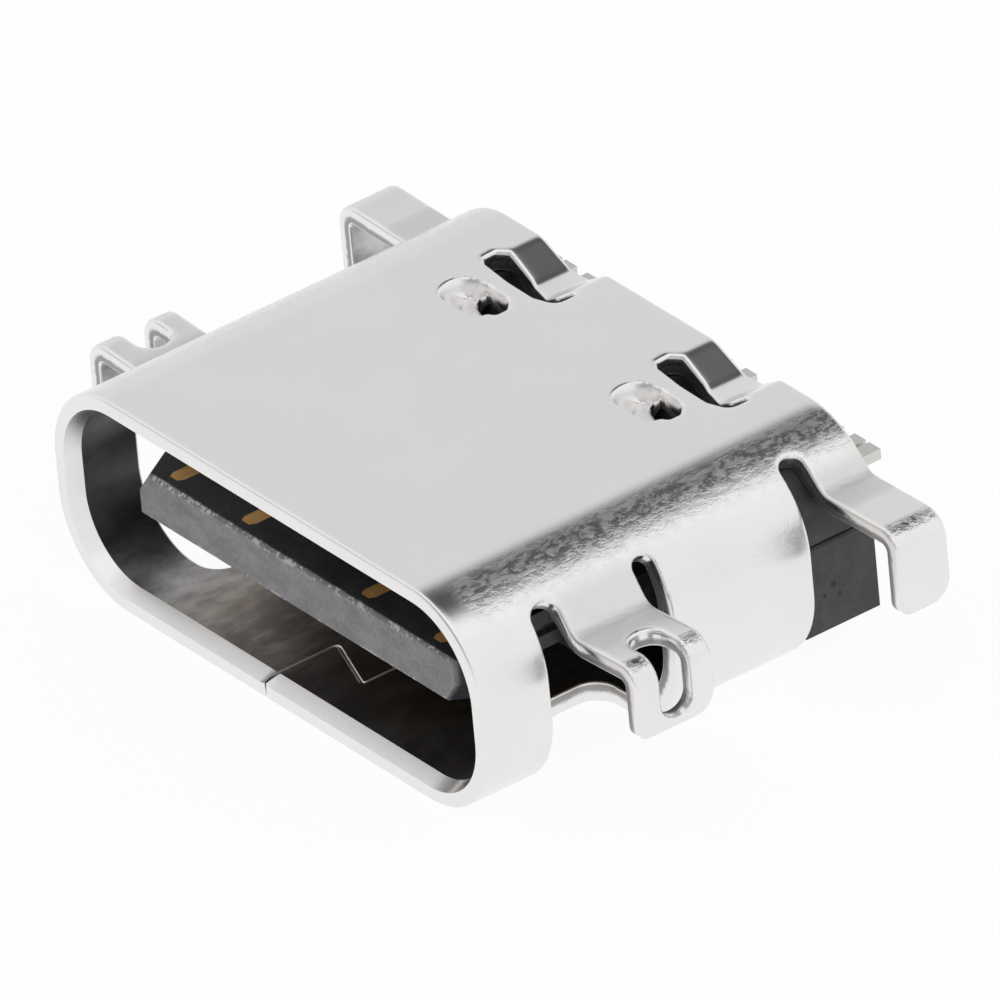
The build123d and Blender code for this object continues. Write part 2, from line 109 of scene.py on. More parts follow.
# Edge shapes as (how far in from the cut, how deep under the outer skin)
ROLL = 0.06
BURR = 0.03
CUT_EDGE = [(ROLL * (1 - sin(radians(a))), ROLL * (1 - cos(radians(a)))) for a in (0, 30, 60, 90)]
CUT_EDGE += [(0, SHEET - BURR), (BURR * 0.3, SHEET - BURR * 0.3), (BURR, SHEET)]
LEAD_IN = 0.22
RIM_EDGE = [(d * 0.8, w * 0.8) for d, w in CUT_EDGE[:4]]
RIM_EDGE += [(0, 0.21), (LEAD_IN / 2, 0.255), (LEAD_IN, SHEET)]

# Places of the shell's three finishes, and how near its cut edges the sheet is divided
OUTER_SKIN = 0
CUT_SIDE = 1
INNER_SKIN = 2
GRID_GAP = 0.035


def bent_line(corners, radii, step=0.004):
    """A bent line as samples: length so far, place, and heading, with an arc at each corner."""
    corners = [np.array(corner, float) for corner in corners]
    headings = [atan2(*(b - a)[::-1]) for a, b in zip(corners, corners[1:])]
    lengths = [hypot(*(b - a)) for a, b in zip(corners, corners[1:])]
    turns = [b - a for a, b in zip(headings, headings[1:])]
    turns = [(turn + pi) % (2 * pi) - pi for turn in turns]
    saved = [abs(radius * tan(turn / 2)) for radius, turn in zip(radii, turns)]
    lengths_at = [0.0]
    headings_at = [headings[0]]
    heading = headings[0]
    for place, length in enumerate(lengths):
        before = saved[place - 1] if place else 0
        after = saved[place] if place < len(saved) else 0
        lengths_at.append(lengths_at[-1] + length - before - after)
        headings_at.append(heading)
        if place < len(turns):
            heading += turns[place]
            lengths_at.append(lengths_at[-1] + abs(turns[place]) * radii[place])
            headings_at.append(heading)
    along = np.linspace(0, lengths_at[-1], ceil(lengths_at[-1] / step) + 1)
    heading = np.interp(along, lengths_at, headings_at)
    middle = (heading[1:] + heading[:-1]) / 2
    steps = np.diff(along)[:, None] * np.c_[np.cos(middle), np.sin(middle)]
    places = np.vstack([corners[0], corners[0] + np.cumsum(steps, axis=0)])
    return {"along": along, "place": places, "heading": heading}


def on_bent_line(line, along, depth):
    """Places on a bent sheet, a depth under the skin that lies to the left of the line."""
    x = np.interp(along, line["along"], line["place"][:, 0])
    z = np.interp(along, line["along"], line["place"][:, 1])
    heading = np.interp(along, line["along"], line["heading"])
    return x + depth * np.sin(heading), z - depth * np.cos(heading)


def rounded_outline(corners, step=0.07):
    """A closed outline from (x, y, radius) corners, with its runs divided into short steps."""
    count = len(corners)
    points = []
    for place in range(count):
        here = np.array(corners[place][:2], float)
        to_last = np.array(corners[place - 1][:2], float) - here
        to_next = np.array(corners[(place + 1) % count][:2], float) - here
        to_last /= hypot(*to_last)
        to_next /= hypot(*to_next)
        radius = corners[place][2]
        if radius == 0:
            points.append(here)
            continue
        angle = np.arccos(np.clip(to_last @ to_next, -1, 1))
        reach = radius / tan(angle / 2)
        inward = to_last + to_next
        centre = here + inward / hypot(*inward) * radius / sin(angle / 2)
        start = here + to_last * reach - centre
        sweep = (pi - angle) * np.sign(to_last[0] * to_next[1] - to_last[1] * to_next[0])
        pieces = max(4, ceil(abs(sweep) * radius / (step * 0.6)))
        for turn in np.linspace(0, -sweep, pieces + 1):
            points.append(centre + np.array([
                start[0] * cos(turn) - start[1] * sin(turn),
                start[0] * sin(turn) + start[1] * cos(turn),
            ]))
    closed = []
    for a, b in zip(points, points[1:] + points[:1]):
        pieces = max(1, ceil(hypot(*(b - a)) / step))
        if hypot(*(b - a)) > 1e-6:
            closed += [a + (b - a) * part / pieces for part in range(pieces)]
    return np.array(closed)


def turned(outline, inner):
    """The outline in the order that keeps the sheet on its left."""
    x, y = outline.T
    area = (x * np.roll(y, -1) - y * np.roll(x, -1)).sum()
    return outline[::-1] if (area > 0) == inner else outline


def drawn_in(outline, amounts):
    """The outline moved into the sheet, each side by its own amount."""
    side = np.roll(outline, -1, axis=0) - outline
    side /= np.hypot(*side.T)[:, None]
    inward = np.c_[-side[:, 1], side[:, 0]]
    before, last = np.roll(inward, 1, axis=0), np.roll(amounts, 1)
    cross = before[:, 0] * inward[:, 1] - before[:, 1] * inward[:, 0]
    straight = np.abs(cross) < 0.05
    safe = np.where(straight, 1, cross)
    x = (last * inward[:, 1] - amounts * before[:, 1]) / safe
    y = (before[:, 0] * amounts - inward[:, 0] * last) / safe
    mitre = np.c_[x, y]
    mean = (before + inward) / 2
    flush = mean / (mean ** 2).sum(1)[:, None] * ((amounts + last) / 2)[:, None]
    return outline + np.where(straight[:, None], flush, mitre)


def inside(points, loops):
    """Which points lie on the sheet: inside its outline and outside its holes."""
    within = np.zeros(len(points), bool)
    x, y = points.T
    for loop in loops:
        for (x0, y0), (x1, y1) in zip(loop, np.roll(loop, -1, axis=0)):
            spans = (y0 > y) != (y1 > y)
            if y0 != y1:
                within ^= spans & (x < (x1 - x0) * (y - y0) / (y1 - y0) + x0)
    return within


def clear_of(points, loops, gap):
    """Which points keep a gap from every outline."""
    keep = np.ones(len(points), bool)
    for loop in loops:
        for start in range(0, len(loop), 200):
            part = loop[start:start + 200]
            x, y = (points[:, None] - part[None]).transpose(2, 0, 1)
            keep &= np.hypot(x, y).min(1) > gap
    return keep


def flat_faces(loops, spacing, dense):
    """Triangles that fill the outline between its holes, with points spread over the sheet."""
    outline = np.vstack(loops)
    low, high = outline.min(0), outline.max(0)
    grids = []
    for (x0, y0), (x1, y1), (dx, dy) in [(low, high, spacing)] + dense:
        x, y = np.meshgrid(np.arange(x0 + dx / 2, x1, dx), np.arange(y0 + dy / 2, y1, dy))
        x[::2] += dx / 2
        grid = np.c_[x.ravel(), y.ravel()]
        if grids:
            keep = ~((grids[0] >= (x0, y0)) & (grids[0] <= (x1, y1))).all(1)
            grids[0] = grids[0][keep]
        grids.append(grid)
    grid = np.vstack(grids)
    grid = grid[inside(grid, loops)]
    grid = grid[clear_of(grid, loops, GRID_GAP)]
    points = np.vstack([outline, grid])
    edges, start = [], 0
    for loop in loops:
        count = len(loop)
        edges += [(start + i, start + (i + 1) % count) for i in range(count)]
        start += count
    made = delaunay_2d_cdt([Vector(p) for p in points], edges, [], 0, 1e-5)
    places, triangles, sources = made[0], np.array(made[2]), made[3]
    middle = np.array([[place.x, place.y] for place in places])[triangles].mean(1)
    triangles = triangles[inside(middle, loops)]
    source = np.array([group[0] if group else -1 for group in sources])
    return points, source[triangles]


def mark_inner_rim(mesh):
    """Keeps the line crisp where the cut edges meet the inner skin."""
    edges = np.empty(len(mesh.loops), int)
    mesh.loops.foreach_get("edge_index", edges)
    sizes = np.empty(len(mesh.polygons), int)
    mesh.polygons.foreach_get("loop_total", sizes)
    material = np.empty(len(mesh.polygons), int)
    mesh.polygons.foreach_get("material_index", material)
    inner = np.bincount(edges, np.repeat(material == INNER_SKIN, sizes), len(mesh.edges))
    sharp = mesh.attributes["sharp_edge"].data
    marks = np.empty(len(mesh.edges), bool)
    sharp.foreach_get("value", marks)
    sharp.foreach_set("value", marks | (inner == 1))


def folded_sheet(name, loops, edge_shapes, to_space, spacing, dense):
    """A sheet cut to its outline, with rolled edges, folded to its shape in space.

    loops holds the outline and then the holes, in the flat sheet. edge_shapes gives each
    outline's sides a list of (in, under) pairs, and to_space folds flat points at a depth.
    The skins are divided by spacing, and by a spacing of their own in the dense areas.
    """
    loops = [turned(loop, place > 0) for place, loop in enumerate(loops)]
    shapes = [edge_shapes(loop) for loop in loops]
    rings = range(shapes[0].shape[1])
    flat = [
        [drawn_in(loop, shape[:, ring, 0]) for loop, shape in zip(loops, shapes)] for ring in rings
    ]
    under = [[(s[:, ring, 1] + np.roll(s[:, ring, 1], 1)) / 2 for s in shapes] for ring in rings]
    points = [np.vstack(outlines) for outlines in flat]
    depths = [np.concatenate(outlines) for outlines in under]
    edge_count = len(points[0])
    starts = [ring * edge_count for ring in rings]
    total = len(points) * edge_count
    faces, finishes = [], []
    for ring, (first, second) in enumerate(zip(starts, starts[1:])):
        offset = 0
        for loop, shape in zip(loops, shapes):
            count = len(loop)
            for i in range(count):
                here, ahead = offset + i, offset + (i + 1) % count
                faces.append((first + here, second + here, second + ahead, first + ahead))
                rolled = shape[i, ring + 1, 1] <= ROLL or shape[i, -1, 0] > 3 * BURR
                finishes.append(OUTER_SKIN if rolled else CUT_SIDE)
            offset += count
    for ring, skin in ((0, OUTER_SKIN), (rings[-1], INNER_SKIN)):
        ring_points, triangles = flat_faces(flat[ring], spacing, dense)
        extra = ring_points[edge_count:]
        depth = depths[0].min() if ring == 0 else depths[ring].max()
        points.append(extra)
        depths.append(np.full(len(extra), depth))
        on_edge = triangles < edge_count
        index = np.where(on_edge, triangles + starts[ring], triangles - edge_count + total)
        total += len(extra)
        x, y = ring_points[triangles].transpose(2, 0, 1)
        area = (x[:, 1] - x[:, 0]) * (y[:, 2] - y[:, 0])
        area -= (x[:, 2] - x[:, 0]) * (y[:, 1] - y[:, 0])
        flip = (area < 0) != (skin == INNER_SKIN)
        index[flip] = index[flip][:, ::-1]
        faces += [tuple(face) for face in index.tolist()]
        finishes += [skin] * len(index)
    solid = to_space(np.vstack(points), np.concatenate(depths)) * MM
    mesh = bpy.data.meshes.new(name)
    mesh.from_pydata(solid.tolist(), [], faces)
    mesh.polygons.foreach_set("material_index", finishes)
    under_skin = mesh.attributes.new("under_skin", "FLOAT", "POINT")
    under_skin.data.foreach_set("value", np.concatenate(depths))
    mesh.shade_smooth()
    mesh.set_sharp_from_angle(angle=radians(40))
    mark_inner_rim(mesh)
    piece = bpy.data.objects.new(name, mesh)
    bpy.context.scene.collection.objects.link(piece)
    return piece


def eased(value, start, end):
    """From 0 at start to 1 at end, level at both."""
    part = np.clip((value - start) / (end - start), 0, 1)
    return part * part * (3 - 2 * part)


# The shell's tube as one bent line, from the middle of the top over the right side
CORNER_X = HALF_WIDTH - CORNER_RADIUS
CORNER_Z = HALF_HEIGHT - CORNER_RADIUS
TUBE = bent_line(
    [(0, HALF_HEIGHT), (HALF_WIDTH, HALF_HEIGHT), (HALF_WIDTH, -HALF_HEIGHT), (-2, -HALF_HEIGHT)],
    [CORNER_RADIUS, CORNER_RADIUS],
)
BOTTOM_MIDDLE = float(np.interp(0, -TUBE["place"][-1000:, 0], TUBE["along"][-1000:]))


def leg_line(leg):
    """The bent line of a leg, from the middle of the top to its foot."""
    bend = radians(leg["leaves"])
    leave_x = CORNER_X + CORNER_RADIUS * cos(bend)
    leave_z = CORNER_Z + CORNER_RADIUS * sin(bend)
    crease = leave_x + (leave_z - leg["crease"]) * tan(bend)
    first = CORNER_X + CORNER_RADIUS * tan((pi / 2 - bend) / 2)
    corners = [
        (0, HALF_HEIGHT), (first, HALF_HEIGHT), (crease, leg["crease"]),
        (leg["reach"], leg["top"]), (leg["reach"], leg["foot"]),
    ]
    return bent_line(corners, [CORNER_RADIUS, LEG_HOLLOW, LEG_BEND])


LEGS = [(leg, leg_line(leg)) for leg in (FRONT_LEG, REAR_LEG)]


def down_to(height):
    """How far round the shell from the middle of the top a height on its side lies."""
    side = TUBE["along"] < BOTTOM_MIDDLE - CORNER_X
    return float(np.interp(-height, -TUBE["place"][side, 1], TUBE["along"][side]))


def shell_outline():
    """The blank's outer cut: the rim, the two seam edges, the rear edges and the rear legs."""
    right_seam = BOTTOM_MIDDLE - SEAM_PLACE
    left_seam = -(BOTTOM_MIDDLE + SEAM_PLACE)
    notch = down_to(REAR_NOTCH_TOP)
    foot = float(LEGS[1][1]["along"][-1])
    notch_round = (REAR_LEG["start"] - WALL_DEPTH) / 2 - END_ROUND_GAP
    right, left = [(right_seam, 0, 0)], [(left_seam, 0, 0)]
    neck, head = DOVETAIL_NECK / 2, DOVETAIL_HEAD / 2
    dovetail = ((0, -neck), (DOVETAIL_REACH, -head), (DOVETAIL_REACH, head), (0, neck))
    for middle in DOVETAIL_CENTRES:
        for across, half in dovetail:
            right.append((right_seam - across, middle + half, SEAM_CORNER))
            left.append((left_seam - across, middle + half, SEAM_CORNER))
    back = [
        (right_seam, WALL_DEPTH, 0), (notch, WALL_DEPTH, notch_round),
        (notch, REAR_LEG["start"], notch_round), (foot, REAR_LEG["start"], FOOT_FRONT),
        (foot, TOP_DEPTH, FOOT_REAR),
    ]
    mirrored = [(-u, y, r) for u, y, r in back[:0:-1]] + [(left_seam, WALL_DEPTH, 0)]
    outline = rounded_outline(right + back + mirrored + left[::-1])
    beside_lead_in = (outline[:, 1] > 1e-6) & (outline[:, 1] < LEAD_IN + 0.02)
    return outline[~beside_lead_in]


def window_outline(side):
    """A side window round its front leg, which stays joined to the shell at the window's top."""
    top = down_to(WINDOW_TOP)
    foot = float(LEGS[0][1]["along"][-1])
    inner = BOTTOM_MIDDLE - WINDOW_INNER_END
    first = (FRONT_LEG["start"] - WINDOW_FRONT) / 2 - END_ROUND_GAP
    second = (WINDOW_REAR - FRONT_LEG["end"]) / 2 - END_ROUND_GAP
    corners = [
        (top, WINDOW_FRONT, first), (top, FRONT_LEG["start"], first),
        (foot, FRONT_LEG["start"], FOOT_FRONT), (foot, FRONT_LEG["end"], FOOT_REAR),
        (top, FRONT_LEG["end"], second), (top, WINDOW_REAR, second),
        (inner, WINDOW_REAR, WINDOW_CORNER), (inner, WINDOW_FRONT, WINDOW_CORNER),
    ]
    return rounded_outline([(side * u, y, r) for u, y, r in corners])


def leg_slot_outline(side):
    """The slot that runs round the outer bend of a front leg."""
    leg, line = LEGS[0]
    above = line["place"][:, 0] < leg["reach"] - LEG_BEND
    inner = float(np.interp(LEG_SLOT["inner"], line["place"][above, 0], line["along"][above]))
    outer = float(line["along"][-1]) - (LEG_SLOT["bottom"] - leg["foot"])
    front, rear = LEG_SLOT["start"], LEG_SLOT["end"]
    half = (rear - front) / 2 - END_ROUND_GAP
    corners = [(inner, front), (outer, front), (outer, rear), (inner, rear)]
    return rounded_outline([(side * u, y, half) for u, y in corners], 0.05)


def strip_slot_outline(centre):
    """The slot in front of a crimped strip, which ends in a hook on the right."""
    return rounded_outline([
        (centre + x, y, radius) for x, y, radius in (
            (-0.79, 5.60, 0.05), (-0.66, 5.52, 0.08), (-0.10, 5.46, 0.60), (0.45, 5.45, 0.25),
            (0.77, 5.56, 0.16), (0.77, 5.86, 0.03), (0.70, 5.86, 0.03), (0.60, 5.70, 0.10),
            (0.30, 5.73, 0.30), (-0.20, 5.87, 0.40), (-0.66, 5.90, 0.05), (-0.80, 5.78, 0.05),
        )
    ], 0.04)


def lance_outline(centre):
    """The opening at the deep end of a pressed lance, torn at the rear and round at the right."""
    return rounded_outline([
        (centre + x, y, radius) for x, y, radius in (
            (-0.34, 5.13, 0.03), (-0.17, 5.01, 0.03), (0.10, 4.94, 0.25), (0.30, 4.80, 0.05),
            (0.43, 4.83, 0.06), (0.43, 5.02, 0.10), (0.28, 5.16, 0.08), (-0.20, 5.20, 0.04),
        )
    ], 0.03)


# The depth of a crimped strip across its width, with its folds rounded off
ROUNDED_OVER = 25
VALLEY_X = np.linspace(-0.9, 0.9, 361)
VALLEY = np.pad(np.interp(VALLEY_X, *STRIP_PRESSED), ROUNDED_OVER // 2, mode="edge")
VALLEY = np.convolve(VALLEY, np.ones(ROUNDED_OVER) / ROUNDED_OVER, mode="valid")


def pressed_down(x, y):
    """How far the top is pressed in, at the crimped strips and in the dished lances."""
    depth = np.zeros(len(x))
    for centre in STRIP_CENTRES:
        across = x - centre
        behind = (y > np.interp(across, *STRIP_FOLD)) & (y > STRIP_FRONT)
        depth += np.where(behind, np.interp(across, VALLEY_X, VALLEY), 0)
        a, b = across - LANCE_OFFSET, y - LANCE_DEPTH
        within = LANCE_RADIUS - np.hypot(np.maximum(np.abs(a) - LANCE_STRAIGHT, 0), b)
        left_front = (a + LANCE_STRAIGHT + LANCE_RADIUS) * 0.75 + (b + LANCE_RADIUS) * 0.65
        fall = LANCE_FALL * np.clip(left_front / LANCE_SLOPE, 0, 1)
        depth += fall * eased(within, 0, LANCE_WALL) * (1 - eased(a, 0.2, 0.5))
    return depth


def fold_shell(flat, under):
    """Folds the blank round the mouth and its legs out and down."""
    u, y = flat.T
    along, side = np.abs(u), np.sign(u)
    x, z = on_bent_line(TUBE, along, under)
    for leg, line in LEGS:
        leaves = CORNER_X + CORNER_RADIUS * radians(90 - leg["leaves"])
        on_leg = (y > leg["start"] - LEG_MARGIN) & (y < leg["end"] + LEG_MARGIN)
        on_leg &= (along > leaves) & (along < line["along"][-1] + LEG_MARGIN)
        thin = 1 - (1 - LEG_SHEET / SHEET) * eased(along - leaves, 0, THINNED_OVER)
        leg_x, leg_z = on_bent_line(line, along, under * thin)
        x, z = np.where(on_leg, leg_x, x), np.where(on_leg, leg_z, z)
    x = x * side
    z = z - np.where(along < CORNER_X, pressed_down(x, y), 0)
    return np.c_[x, y, z]


def shell_edges(loop):
    """The rim gets its lead-in, the seam its gap, and every other cut its rolled edge."""
    ahead = np.roll(loop, -1, axis=0)
    u, y = ((loop + ahead) / 2).T
    shapes = np.zeros((len(loop), len(CUT_EDGE), 2))
    shapes[:] = CUT_EDGE
    shapes[(loop[:, 1] < 1e-6) & (ahead[:, 1] < 1e-6)] = RIM_EDGE
    seam = np.abs(np.abs(u) - BOTTOM_MIDDLE) < SEAM_SPREAD
    seam &= (y > 1e-6) & (y < WALL_DEPTH - 1e-6)
    shapes[seam, :, 0] = shapes[seam, :, 0] * 0.5 + SEAM_GAP / 2
    return shapes


def make_shell():
    """Cuts and folds the shell, divided more finely where it is pressed or bent tightly."""
    loops = [shell_outline()]
    for side in (1, -1):
        loops += [window_outline(side), leg_slot_outline(side)]
    for centre in STRIP_CENTRES:
        loops += [strip_slot_outline(centre), lance_outline(centre)]
    dense = []
    for centre in STRIP_CENTRES:
        dense.append(((centre - 0.80, 4.48), (centre + 0.60, 5.30), (0.026, 0.026)))
        dense.append(((centre - 1.00, 5.30), (centre + 1.00, TOP_DEPTH), (0.045, 0.045)))
    for leg, line in LEGS:
        near, foot = CORNER_X + 0.3, float(line["along"][-1])
        for start, end in ((near, foot), (-foot, -near)):
            dense.append(((start, leg["start"]), (end, leg["end"]), (0.042, 0.06)))
    return folded_sheet("folded_shell", loops, shell_edges, fold_shell, (0.075, 0.15), dense)


shell = make_shell()


class Tone:
    """A shader output that masks and heights are added up from as plain sums."""

    def __init__(self, finish, link):
        self.finish = finish
        self.link = link

    def _maths(self, operation, *values):
        return self.finish.node("ShaderNodeMath", {"operation": operation}, list(values))

    def __add__(self, other):
        return self._maths("ADD", self, other)

    __radd__ = __add__

    def __sub__(self, other):
        return self._maths("SUBTRACT", self, other)

    def __rsub__(self, other):
        return self._maths("SUBTRACT", other, self)

    def __mul__(self, other):
        return self._maths("MULTIPLY", self, other)

    __rmul__ = __mul__

    def size(self):
        """The number without its sign."""
        return self._maths("ABSOLUTE", self)

    def ramp(self, start, end):
        """From 0 at start to 1 at end, eased."""
        settings = {"interpolation_type": "SMOOTHSTEP"}
        values = {"Value": self, "From Min": start, "From Max": end}
        return self.finish.node("ShaderNodeMapRange", settings, values)


class Finish:
    """The node tree of one material or of the world."""

    def __init__(self, tree):
        self.tree = tree
        tree.nodes.clear()

    def node(self, kind, settings=None, values=(), output=0):
        """Adds a node with its settings and inputs, and hands on one of its outputs."""
        made = self.tree.nodes.new(kind)
        for name, value in (settings or {}).items():
            setattr(made, name, value)
        pairs = values.items() if isinstance(values, dict) else enumerate(values)
        for key, value in pairs:
            socket = made.inputs[key]
            if isinstance(value, Tone):
                self.tree.links.new(value.link, socket)
            elif isinstance(value, tuple) and len(value) == 3 and socket.type == "RGBA":
                socket.default_value = (*value, 1)
            else:
                socket.default_value = value
        return Tone(self, made.outputs[output]) if made.outputs else None

    def mix(self, factor, first, second):
        """Two colours mixed by a mask."""
        values = {0: factor, 6: first, 7: second}
        return self.node("ShaderNodeMix", {"data_type": "RGBA"}, values, 2)

    def place(self):
        """The place on the part, in millimetres."""
        here = self.node("ShaderNodeTexCoord", output=3)
        return self.node("ShaderNodeVectorMath", {"operation": "SCALE"}, {0: here, "Scale": 1 / MM})

    def stretched(self, place, by):
        """A place multiplied along each axis. A small number draws a pattern out that way."""
        return self.node("ShaderNodeVectorMath", {"operation": "MULTIPLY"}, {0: place, 1: by})

    def noise(self, place, scale, detail=2.0, roughness=0.5):
        values = {"Vector": place, "Scale": scale, "Detail": detail, "Roughness": roughness}
        return self.node("ShaderNodeTexNoise", None, values)

    def parts(self, place):
        """The three numbers of a place."""
        return [self.node("ShaderNodeSeparateXYZ", None, [place], axis) for axis in range(3)]


def finish_named(name, surface):
    """A material whose surface comes from a function that is given its node tree."""
    material = bpy.data.materials.new(name)
    material.use_nodes = True
    finish = Finish(material.node_tree)
    shader = surface(finish)
    finish.node("ShaderNodeOutputMaterial", None, {"Surface": shader})
    return material


def principled(finish, height=None, strength=0.2, distance=0.01 * MM, **values):
    """The surface shader, with fine relief from a height."""
    inputs = {name.replace("_", " "): value for name, value in values.items()}
    if height is not None:
        inputs["Normal"] = finish.node(
            "ShaderNodeBump", None, {"Strength": strength, "Distance": distance, "Height": height}
        )
    return finish.node("ShaderNodeBsdfPrincipled", None, inputs)


def satin_steel(finish):
    """Nickel-plated strip: faint grain along Y, specks where it was bent, dull leg creases."""
    place = finish.place()
    x, y = finish.parts(place)[:2]
    facing = finish.parts(finish.node("ShaderNodeTexCoord", output=1))
    grain = finish.noise(finish.stretched(place, (9.0, 0.9, 9.0)), 6.0, 3.0)
    cloud = finish.noise(place, 0.7, 3.0)
    across = x.size()
    bent = (facing[0] * facing[2]).size().ramp(0.10, 0.30)
    bent = bent * (1 - facing[0].size().ramp(0.45, 0.85) * 0.6)
    bent = bent * across.ramp(2.7, 3.1) * y.ramp(0.25, 0.5)
    specks = finish.noise(finish.stretched(place, (1.0, 0.55, 1.0)), 12.0, 3.0, 0.7)
    peel = specks.ramp(0.40, 0.64)
    rough = bent * (1 + across.ramp(5.0, 5.3) * 3)
    on_leg = y.ramp(1.50, 1.60) * (1 - y.ramp(2.66, 2.76)) + y.ramp(5.64, 5.74)
    crease = on_leg * across.ramp(4.0, 4.2) * (1 - across.ramp(4.7, 4.9))
    height = grain * 0.2 + peel * rough + finish.noise(place, 25.0, 2.0) * 0.1
    shade = cloud.ramp(0.3, 0.7) * 0.6 + grain * 0.4
    colour = finish.mix(shade, (0.800, 0.788, 0.780), (0.850, 0.840, 0.834))
    return principled(
        finish, height, 0.20, 0.012 * MM, Base_Color=colour, Metallic=1.0,
        Roughness=0.24 + cloud * 0.06 + peel * bent * 0.12 + crease * 0.32,
    )


def inner_steel(finish):
    """The shell's inner skin, duller and a little smeared, with painted shade that makes it darkest
    towards the right.
    """
    place = finish.place()
    x = finish.parts(place)[0]
    across = x.size()
    smear = finish.noise(finish.stretched(place, (1.0, 0.5, 1.0)), 1.9, 4.0, 0.65)
    fine = finish.noise(place, 20.0, 2.0)
    colour = finish.mix(smear.ramp(0.35, 0.65), (0.36, 0.35, 0.345), (0.74, 0.73, 0.72))
    # Painted shade: the inner skin is painted near black towards the right and towards its bent
    # corners, and left off the legs.
    painted_shade = 1 - (1 - across.ramp(2.9, 4.0) * 0.85) * (1 - x.ramp(-1.3, 0.3) * 0.88)
    painted_shade = painted_shade * (1 - across.ramp(HALF_WIDTH - SHEET, HALF_WIDTH - SHEET + 0.1))
    colour = finish.mix(painted_shade, colour, (0.06, 0.058, 0.058))
    return principled(
        finish, fine * 0.4 + smear, 0.25, 0.01 * MM, Base_Color=colour, Metallic=1.0,
        Roughness=0.40 + smear * 0.16,
    )


def sheared_steel(finish):
    """The cut edges of the strip: bright where the punch slid, torn and duller below."""
    tears = finish.noise(finish.place(), 9.0, 3.0)
    under = finish.node("ShaderNodeAttribute", {"attribute_name": "under_skin"}, output=2)
    torn = (under + tears * 0.08).ramp(0.17, 0.24)
    colour = finish.mix(torn, (0.83, 0.82, 0.81), (0.36, 0.35, 0.345))
    colour = finish.mix(under.ramp(0.26, 0.28), colour, (0.92, 0.91, 0.90))
    return principled(
        finish, tears * torn, 0.3, 0.012 * MM, Base_Color=colour, Metallic=1.0,
        Roughness=0.18 + torn * 0.25,
    )


def plate_steel(finish):
    """Thin stainless plate inside the mouth."""
    place = finish.place()
    grain = finish.noise(finish.stretched(place, (8.0, 0.8, 8.0)), 6.0, 3.0)
    colour = finish.mix(grain, (0.50, 0.49, 0.48), (0.60, 0.59, 0.58))
    return principled(
        finish, grain, 0.2, 0.01 * MM, Base_Color=colour, Metallic=1.0,
        Roughness=0.30 + grain * 0.1,
    )


def black_moulding(finish):
    """Black filled plastic: pale scuffs, flow marks and fine pits from the mould, painted shade in
    the side pits, and painted light with painted highlight specks on the tongue's nose.
    """
    place = finish.place()
    flow = finish.noise(finish.stretched(place, (0.6, 1.4, 1.4)), 3.0, 4.0, 0.6)
    pits = finish.noise(place, 18.0, 2.0, 0.6)
    # Each side pit is a real dent in the height; its near-black colour is painted shade.
    dented_and_shaded_pits = 0
    for middle, radius in SIDE_PITS:
        away = finish.node("ShaderNodeVectorMath", {"operation": "DISTANCE"}, [place, middle], 1)
        dented_and_shaded_pits = dented_and_shaded_pits + 1 - (away + (pits - 0.5) * 0.04).ramp(radius * 0.5, radius)
    scuffs = finish.noise(finish.stretched(place, (1.0, 0.4, 1.6)), 9.0, 4.0, 0.7).ramp(0.60, 0.78)
    colour = finish.mix(flow.ramp(0.35, 0.7), (0.031, 0.029, 0.033), (0.054, 0.051, 0.058))
    colour = finish.mix(scuffs * 0.35, colour, (0.16, 0.16, 0.17))
    colour = finish.mix(dented_and_shaded_pits, colour, (0.004, 0.004, 0.005))
    depth, height = finish.parts(place)[1:]
    # Painted light: the front of the tongue is painted a mottled grey where light falls on its
    # front face.
    nose = 1 - depth.ramp(0.46, 0.52)
    blotches = finish.noise(finish.stretched(place, (0.6, 1.0, 1.0)), 4.0, 4.0, 0.6)
    painted_nose_light = 0.5 + blotches.ramp(0.3, 0.7) * 0.3 + pits.ramp(0.3, 0.7) * 0.2
    colour = finish.mix(nose * painted_nose_light, colour, (0.285, 0.287, 0.295))
    # Painted highlight: pale specks along the top and bottom edges of the tongue's front face.
    painted_edge_glints = (blotches + pits).ramp(1.02, 1.14) * height.size().ramp(0.26, 0.33)
    colour = finish.mix(nose * painted_edge_glints, colour, (0.62, 0.62, 0.63))
    return principled(
        finish, pits + flow * 0.6 - dented_and_shaded_pits * 3, 0.35, 0.02 * MM, Base_Color=colour,
        Roughness=0.42 + flow * 0.2,
    )


def contact_gold(finish):
    """Gold on the wiping end of a contact, tin on its soldering tail."""
    place = finish.place()
    y = finish.parts(place)[1]
    tinned = y.ramp(5.2, 5.6)
    grain = finish.noise(finish.stretched(place, (6.0, 1.0, 6.0)), 7.0, 3.0)
    gold = finish.mix(grain, (0.95, 0.46, 0.12), (1.0, 0.62, 0.24))
    tin = finish.mix(grain, (0.58, 0.57, 0.55), (0.74, 0.73, 0.71))
    return principled(
        finish, grain, 0.25, 0.01 * MM, Base_Color=finish.mix(tinned, gold, tin),
        Metallic=0.4 + tinned * 0.6, Roughness=0.22 + tinned * 0.14 + grain * 0.08,
    )


STEEL = finish_named("satin_steel", satin_steel)
SHEARED = finish_named("sheared_steel", sheared_steel)
INNER = finish_named("inner_steel", inner_steel)
PLATE = finish_named("plate_steel", plate_steel)
BLACK = finish_named("black_moulding", black_moulding)
GOLD = finish_named("contact_gold", contact_gold)

for material in (STEEL, SHEARED, INNER):
    shell.data.materials.append(material)
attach(shell, "root")
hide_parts("stamped_shell")


